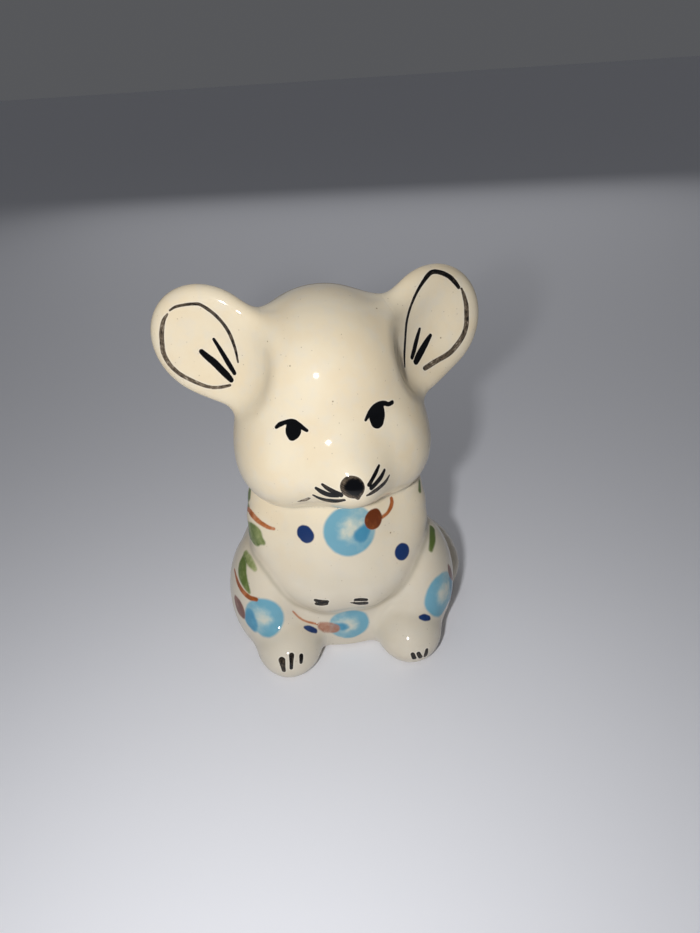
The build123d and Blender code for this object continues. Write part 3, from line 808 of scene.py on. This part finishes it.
# Glazed stoneware, dipped and fired over brushwork: a warm cream body with soft blotches and iron specks,
# brush colours that sink in with a pale rim round the black, and small sharp highlights from a clear glassy
# coat, which stops short of the foot
def paintedGlaze():
    g, ball, paints, black = glaze, glaze["ball"], glaze["colour"], glaze["black"]
    material = bpy.data.materials.new("painted glazed stoneware")
    material.use_nodes = True
    tree = material.node_tree
    tree.nodes.clear()
    # Settings that come again and again. Map Range takes a value, then from, from, to and to. Scaled is the
    # first times the second plus the third.
    smooth, blend = {"interpolation_type": "SMOOTHSTEP"}, {"out": 2, "data_type": "RGBA"}
    times, scaled, less = ({"operation": name} for name in ("MULTIPLY", "MULTIPLY_ADD", "SUBTRACT"))
    place = node(tree, "TexCoord", out="Object")
    height = node(tree, "SeparateXYZ", [place], out="Z")
    noise = {name: node(tree, "TexNoise", {"Vector": place, "Scale": 1000 / size, "Detail": detail})
             for name, (size, detail) in g["noises"].items()}
    names = ["poolAndShade", "sky", "skyTone"] + [layer + end for layer in brushwork for end in ("", "Dense")]
    value = {name: node(tree, "Attribute", out="Fac", attribute_name=name) for name in names}

    # Body colour: blotches, a finer cloud, painted shade that darkens it towards the bottom, and glaze that
    # gathers grey in the folds, with painted shade there too
    body = g["cream"]
    steers = {"warm": noise["blotch"], "cool": noise["cloud"], "low": height, "poolAndShade": value["poolAndShade"]}
    for tone, (begin, full, most) in g["tones"].items():
        share = node(tree, "MapRange", (steers[tone], begin, full, 0.0, most), **smooth)
        body = node(tree, "Mix", {0: share, 6: body, 7: g[tone]}, **blend)

    # Iron specks: small dots at random sizes, few and far between, and some soft larger ones
    for size, end, full, strength in g["specks"]:
        cells = node(tree, "TexVoronoi", {"Vector": place, "Scale": 1000 / size}, out=None)
        chance = node(tree, "SeparateColor", [cells.outputs["Color"]])
        rare = node(tree, "MapRange", (chance, *g["speckChance"]), **smooth)
        dot = node(tree, "MapRange", (cells.outputs["Distance"], end, full), **smooth)
        share = node(tree, "Math", (node(tree, "Math", (dot, rare), **times), strength), **times)
        body = node(tree, "Mix", {0: share, 6: body, 7: g["speck"]}, **blend)

    # Balls first: a wash of blue whose edge wanders, paler where it lies thin
    wander = node(tree, "Math", (noise["wander"], g["wanderMm"], -g["wanderMm"] / 2), **scaled)
    broad = node(tree, "Math", (noise["broad"], g["broadMm"], -g["broadMm"] / 2), **scaled)
    washed = node(tree, "Math", (noise["wash"], 0.5), **less)
    skyEdge = node(tree, "Math", (value["sky"], broad), operation="ADD")
    tone = node(tree, "Math", (washed, ball["wash"], value["skyTone"]), **scaled)
    blue = node(tree, "MapRange", (tone, *ball["full"]), **smooth)
    skyColour = node(tree, "Mix", {0: blue, 6: g["skyPale"], 7: g["sky"]}, **blend)
    inside = node(tree, "MapRange", (skyEdge, ball["edge"], -ball["edge"]), **smooth)
    strong = node(tree, "MapRange", (tone, *ball["cover"]), **smooth)
    cover = node(tree, "Math", (inside, strong), **times)
    body = node(tree, "Mix", {0: cover, 6: body, 7: skyColour}, **blend)

    # Then the other colours, from the first put on to the last. Each goes from pale to full with its density.
    for layer, soft in g["softEdges"].items():
        edge = node(tree, "Math", (value[layer], wander), operation="ADD")
        dense = node(tree, "Math", (washed, paints["wash"], value[layer + "Dense"]), **scaled)
        full = node(tree, "MapRange", (dense, *paints["full"]), **smooth)
        colour = node(tree, "Mix", {0: full, 6: g[layer + "Pale"], 7: g[layer]}, **blend)
        inside = node(tree, "MapRange", (edge, soft, -soft), **smooth)
        strong = node(tree, "MapRange", (dense, *paints["cover"]), **smooth)
        cover = node(tree, "Math", (inside, strong), **times)
        body = node(tree, "Mix", {0: cover, 6: body, 7: colour}, **blend)

    # Black: a pale rim where the glaze draws back, bristle marks along each stroke, thin places brown
    inkEdge = node(tree, "Math", (wander, black["wander"], value["ink"]), **scaled)
    rim = node(tree, "MapRange", (inkEdge, *black["rim"]), **smooth)
    body = node(tree, "Mix", {0: rim, 6: body, 7: g["halo"]}, **blend)
    brush = node(tree, "Attribute", out="Vector", attribute_name="brush")
    drawn = node(tree, "VectorMath", (brush, black["stretch"]), **times)    # long along a stroke, fine across
    streak = node(tree, "TexNoise", {"Vector": drawn, "Scale": 1.0, "Detail": 3.0})
    middle = (black["streak"] + black["fleck"]) / 2                         # so that the two centre on nought
    fleck = node(tree, "Math", (noise["bristle"], black["fleck"], -middle), **scaled)
    uneven = node(tree, "Math", (streak, black["streak"], fleck), **scaled)
    room = node(tree, "Math", (black["evenAt"], value["inkDense"]), **less)
    dry = node(tree, "Math", (uneven, room, value["inkDense"]), **scaled)
    wet = node(tree, "MapRange", (dry, *black["full"]), **smooth)
    inkColour = node(tree, "Mix", {0: wet, 6: g["dryInk"], 7: g["ink"]}, **blend)
    inside = node(tree, "MapRange", (inkEdge, *black["edge"]), **smooth)
    strong = node(tree, "MapRange", (dry, *black["cover"]), **smooth)
    inkCover = node(tree, "Math", (inside, strong), **times)
    body = node(tree, "Mix", {0: inkCover, 6: body, 7: inkColour}, **blend)

    # Bare clay from just above the table down, its edge wavering
    clouded = node(tree, "Math", (noise["cloud"], 0.5), **less)
    waver = node(tree, "Math", (clouded, g["bareWaverMm"] / 1000, height), **scaled)
    bare = node(tree, "MapRange", (waver, *g["bareHeights"]), **smooth)
    clay = node(tree, "MapRange", (noise["clay"], *g["clayTones"]), **smooth)
    clayColour = node(tree, "Mix", {0: clay, 6: g["bare"], 7: g["bareDark"]}, **blend)
    body = node(tree, "Mix", {0: bare, 6: body, 7: clayColour}, **blend)

    # Surface: a faint ripple of the glaze, and grain on the bare clay
    ripple = node(tree, "Math", (noise["ripple"], g["rippleMm"] / 1000), **times)
    grain = node(tree, "Math", (noise["grain"], bare), **times)
    relief = node(tree, "Math", (grain, g["grainMm"] / 1000, ripple), **scaled)
    bump = node(tree, "Bump", {"Strength": 1.0, "Distance": 1.0, "Height": relief})
    rough = node(tree, "MapRange", (bare, 0.0, 1.0, g["roughness"], g["bareRoughness"]), **smooth)
    gloss = node(tree, "MapRange", (inkCover, 0.0, 1.0, g["gloss"], 0.0), **smooth)
    coat = node(tree, "MapRange", (bare, 0.0, 1.0, g["coat"], 0.0), **smooth)
    shader = node(tree, "BsdfPrincipled", {
        "Base Color": body, "Roughness": rough, "Specular IOR Level": gloss, "Coat Weight": coat,
        "Coat Roughness": g["coatRoughness"], "Coat IOR": g["coatIor"], "Normal": bump})
    node(tree, "OutputMaterial", {"Surface": shader}, out=None)
    return material


# A matt surface of one colour
def plain(name, colour, roughness):
    material = bpy.data.materials.new(name)
    material.use_nodes = True
    shader = material.node_tree.nodes["Principled BSDF"]
    shader.inputs["Base Color"].default_value = linear(colour)
    shader.inputs["Roughness"].default_value = roughness
    return material


# Rows and columns of each kind of piece's grid, how far out its rays start, and how far it may reach past its
# own form. Rows crowd together at the first pole of the head, which is the face.
grids = {"torso": {"rows": 230, "columns": 340, "far": 34.0, "margin": 5.5},
         "head": {"rows": 245, "columns": 390, "far": 34.0, "margin": 5.0, "crowd": 0.62},
         "ear": {"rows": 210, "columns": 280, "far": 9.0, "margin": 4.5},
         "haunch": {"rows": 150, "columns": 220, "far": 17.0, "margin": 4.5},
         "foot": {"rows": 150, "columns": 200, "far": 12.0, "margin": 4.0},
         "arm": {"rows": 190, "columns": 130, "far": 9.0, "margin": 4.0},
         "tail": {"rows": 190, "columns": 130, "far": 9.0, "margin": 4.0}}
fine = 1.0
limbPoints = 60                                      # points along a limb's curve that its rays leave from

# Torso: cast from its middle, its first pole at the pour hole, whose wall leads up to a small closed pocket.
# The pocket's rings, from its top out to the wall, are shares of its room and of its top height.
pourHole = {"at": (0.0, 9.0), "radius": 4.5, "lip": 0.5, "deep": 3.2, "room": 9.0, "top": 12.0,
            "castFrom": (0.0, 0.5, 19.0), "spread": 20.0, "evenFrom": (0.25, 1.0),
            "pocket": ((0.12, 1.0), (0.3, 0.98), (0.6, 0.9), (0.85, 0.74), (0.98, 0.55), (1.0, 0.42),
                       (0.9, 0.32)),
            "shelf": (0.72, 0.2), "bevel": (0.15, 0.3), "lipCurve": ((0.07, 0.22), (0.25, 0.06))}


# Near the hole the rays aim at circles about it, further out they run into the even fan. Inside it, rings of
# (radius, height) go from the pocket's top down the wall to the rounded lip.
def torsoGrid(rows, columns, far, margin):
    h, centre = pourHole, np.array(pourHole["castFrom"])
    x, y = h["at"]
    origins, ways, first, last = roundRays(centre, np.array([x, y, 0]) - centre, rows, columns)
    b = np.arange(columns) / columns * 2 * math.pi
    angle = (np.arange(rows) + 1)[:, None] / (rows + 1) * math.pi
    radius = np.tan(angle * 0.999 / 2) * 2 * h["spread"] + h["radius"] + h["lip"]
    circle = np.stack([x + radius * np.sin(b), y + radius * np.cos(b), 0 * radius * b], -1)
    aimed = circle - centre
    aimed /= np.linalg.norm(aimed, axis=2)[..., None]
    share = 1 - softStep(angle, *h["evenFrom"])[..., None]
    ways = aimed * share + ways * (1 - share)
    ways /= np.linalg.norm(ways, axis=2)[..., None]
    outer, _, end = castGrid("torso", (origins, ways, first, last), far, margin)
    wall, deep = h["radius"], h["deep"]
    rings = [(share * h["room"], part * h["top"]) for share, part in h["pocket"]]
    rings += [(h["shelf"][0] * h["room"], deep + h["shelf"][1]), (wall + h["bevel"][0], deep),
              (wall, deep - h["bevel"][1]), (wall, deep / 2), (wall, h["lip"])]
    rings += [(wall + out, z) for out, z in h["lipCurve"]]
    radius, z = np.array(rings).T[:, :, None]
    inner = np.stack([x + radius * np.sin(b), y + radius * np.cos(b), z + 0 * b], -1)
    return np.concatenate([inner, outer]), np.array([x, y, h["top"]]), end


# The grid of one piece with its poles: round pieces cast from their middles, limbs from their curves
def pieceGrid(name):
    kind = name.split("_")[-1]
    side = -1 if name.startswith("right") else 1
    rows, columns = (int(grids[kind][key] * fine) for key in ("rows", "columns"))
    far, margin = grids[kind]["far"], grids[kind]["margin"]
    if kind == "torso":
        return torsoGrid(rows, columns, far, margin)
    if kind == "head":
        face = headTurn @ np.array([0.0, -1.0, -0.22])
        rays = roundRays(np.array(headSizes["centre"]), face, rows, columns, grids[kind]["crowd"])
    elif kind == "ear":
        rays = earRays(side, rows, columns)
    elif kind == "haunch":
        rays = roundRays(mirrored(haunchSizes, side)[0], (side, 0, 0), rows, columns)
    elif kind == "foot":
        rays = roundRays(mirrored(footSizes, side)[0], (0, -1, 0), rows, columns)
    else:
        reference = (0, 0, 1) if kind == "tail" else (side, 0, 0)
        rays = limbRays(smoothCurve(limbs[name][0], limbPoints), rows, columns, reference)
    return castGrid(name, rays, far, margin)


painted = paintedGlaze()
for name in ("torso", "head", "left_ear", "right_ear", "left_arm", "right_arm", "left_haunch", "right_haunch",
             "left_foot", "right_foot", "tail"):
    mesh, points = closedMesh(name + "_clay", *pieceGrid(name))
    paint(mesh, points)
    mesh.materials.append(painted)
    piece = bpy.data.objects.new(name + "_clay", mesh)
    bpy.context.collection.objects.link(piece)
    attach(piece, "root")
    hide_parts(name)
    print(name, "cast and painted,", len(points), "points")

# Studio: a pale table of so many metres to each side, a faint even light from all round, and three lamps
studio = {"table": "#EEEFF5", "tableRoughness": 0.6, "tableReach": 3.0,
          "air": "#D6D8DE", "airStrength": 0.14}

# Table: a plain matt sheet, wide enough to fill the view, that shows soft shadows and no reflections
far = studio["tableReach"]
floorMesh = bpy.data.meshes.new("table")
floorMesh.from_pydata([(-far, -far, 0), (far, -far, 0), (far, far, 0), (-far, far, 0)], [], [(0, 1, 2, 3)])
floorMesh.materials.append(plain("pale matt table", studio["table"], studio["tableRoughness"]))
floor = bpy.data.objects.new("table", floorMesh)
bpy.context.collection.objects.link(floor)

world = bpy.data.worlds.new("studio")
world.use_nodes = True
air = world.node_tree.nodes["Background"].inputs
air["Color"].default_value = linear(studio["air"])
air["Strength"].default_value = studio["airStrength"]
bpy.context.scene.world = world

# Lamps: place and width in millimetres, power in watts. All look at the middle of the figure. The front one
# stands beside and just behind the camera.
place, right, up, forward = cameraAxes()
aim = np.array([0.0, -4.0, 40.0])
lamps = {"front": {"at": place - right * 26 - up * 6 - forward * 12, "width": 9.0, "watts": 0.18},
         "overhead": {"at": np.array([-160.0, -160.0, 420.0]), "width": 520.0, "watts": 0.06},
         "behind": {"at": np.array([60.0, 360.0, 300.0]), "width": 560.0, "watts": 0.34}}
for name, made in lamps.items():
    lamp = bpy.data.lights.new(name, "AREA")
    lamp.size, lamp.energy = made["width"] / 1000, made["watts"]
    holder = bpy.data.objects.new(name, lamp)
    back = (made["at"] - aim) / np.linalg.norm(made["at"] - aim)
    sideways = np.cross([0, 0, 1.0], back)
    sideways /= np.linalg.norm(sideways)
    turned = np.stack([sideways, np.cross(back, sideways), back], 1)
    matrix = np.eye(4)
    matrix[:3, :3], matrix[:3, 3] = turned, made["at"] / 1000
    holder.matrix_world = Matrix(matrix.tolist())
    bpy.context.collection.objects.link(holder)

camera = bpy.data.cameras.new("camera")
camera.sensor_fit, camera.sensor_width = "AUTO", 36.0
camera.lens = view["focalPixels"] * camera.sensor_width / view["height"]
camera.clip_start = 0.005
holder = bpy.data.objects.new("camera", camera)
matrix = np.eye(4)
matrix[:3, :3], matrix[:3, 3] = np.stack([right, up, -forward], 1), place / 1000
holder.matrix_world = Matrix(matrix.tolist())
bpy.context.collection.objects.link(holder)
bpy.context.scene.camera = holder
bpy.context.scene.view_settings.view_transform = "Standard"
print("table, lights and camera placed")
